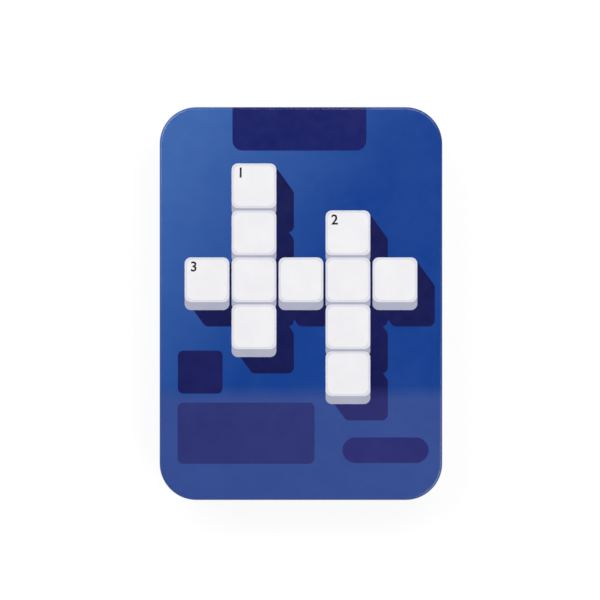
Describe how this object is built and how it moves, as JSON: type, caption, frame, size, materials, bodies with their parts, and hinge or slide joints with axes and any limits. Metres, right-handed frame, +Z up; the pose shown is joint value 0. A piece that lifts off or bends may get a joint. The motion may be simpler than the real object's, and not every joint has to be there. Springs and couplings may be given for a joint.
{
  "type": "word dice game",
  "caption": "Flat hinged tin with rounded corners that holds letter dice in a moulded tray above a folded rules leaflet.",
  "frame": {"origin": "middle of the tin's underside, on the plane of its standing ring", "axes": "+Z up out of the lid, +Y along the tin towards the top of the lid's print, +X across, away from the hinge"},
  "size_m": [0.1, 0.139, 0.03],
  "materials": {
    "printed_tin": "satin varnish over print",
    "hinge_wire": "drawn wire",
    "tray_plastic": "semi-gloss",
    "leaflet_paper": "uncoated",
    "dice_plastic": "polished"
  },
  "bodies": {
    "base": {"base_tin": "printed_tin", "rules_leaflet": "leaflet_paper"},
    "lid": {"lid_tin": "printed_tin", "hinge_wire_upper": "hinge_wire", "hinge_wire_lower": "hinge_wire"},
    "tray": {"dice_tray": "tray_plastic"},
    "die_01": {"die_01": "dice_plastic"},
    "die_02": {"die_02": "dice_plastic"},
    "die_03": {"die_03": "dice_plastic"},
    "die_04": {"die_04": "dice_plastic"},
    "die_05": {"die_05": "dice_plastic"},
    "die_06": {"die_06": "dice_plastic"},
    "die_07": {"die_07": "dice_plastic"},
    "die_08": {"die_08": "dice_plastic"},
    "die_09": {"die_09": "dice_plastic"},
    "die_10": {"die_10": "dice_plastic"},
    "die_11": {"die_11": "dice_plastic"},
    "die_12": {"die_12": "dice_plastic"}
  },
  "joints": [
    {"name": "lid_hinge", "type": "hinge", "parent": "base", "child": "lid", "pos_m": [-0.0492, 0, 0.0208], "axis": [0, -1, 0], "range_deg": [0, 110]},
    {"name": "tray_lift", "type": "slide", "parent": "base", "child": "tray", "axis": [0, 0, 1], "range_m": [0, 0.006]},
    {"name": "die_01_lift", "type": "slide", "parent": "tray", "child": "die_01", "axis": [0, 0, 1], "range_m": [0, 0.006]},
    {"name": "die_02_lift", "type": "slide", "parent": "tray", "child": "die_02", "axis": [0, 0, 1], "range_m": [0, 0.006]},
    {"name": "die_03_lift", "type": "slide", "parent": "tray", "child": "die_03", "axis": [0, 0, 1], "range_m": [0, 0.006]},
    {"name": "die_04_lift", "type": "slide", "parent": "tray", "child": "die_04", "axis": [0, 0, 1], "range_m": [0, 0.006]},
    {"name": "die_05_lift", "type": "slide", "parent": "tray", "child": "die_05", "axis": [0, 0, 1], "range_m": [0, 0.006]},
    {"name": "die_06_lift", "type": "slide", "parent": "tray", "child": "die_06", "axis": [0, 0, 1], "range_m": [0, 0.006]},
    {"name": "die_07_lift", "type": "slide", "parent": "tray", "child": "die_07", "axis": [0, 0, 1], "range_m": [0, 0.006]},
    {"name": "die_08_lift", "type": "slide", "parent": "tray", "child": "die_08", "axis": [0, 0, 1], "range_m": [0, 0.006]},
    {"name": "die_09_lift", "type": "slide", "parent": "tray", "child": "die_09", "axis": [0, 0, 1], "range_m": [0, 0.006]},
    {"name": "die_10_lift", "type": "slide", "parent": "tray", "child": "die_10", "axis": [0, 0, 1], "range_m": [0, 0.006]},
    {"name": "die_11_lift", "type": "slide", "parent": "tray", "child": "die_11", "axis": [0, 0, 1], "range_m": [0, 0.006]},
    {"name": "die_12_lift", "type": "slide", "parent": "tray", "child": "die_12", "axis": [0, 0, 1], "range_m": [0, 0.006]}
  ]
}
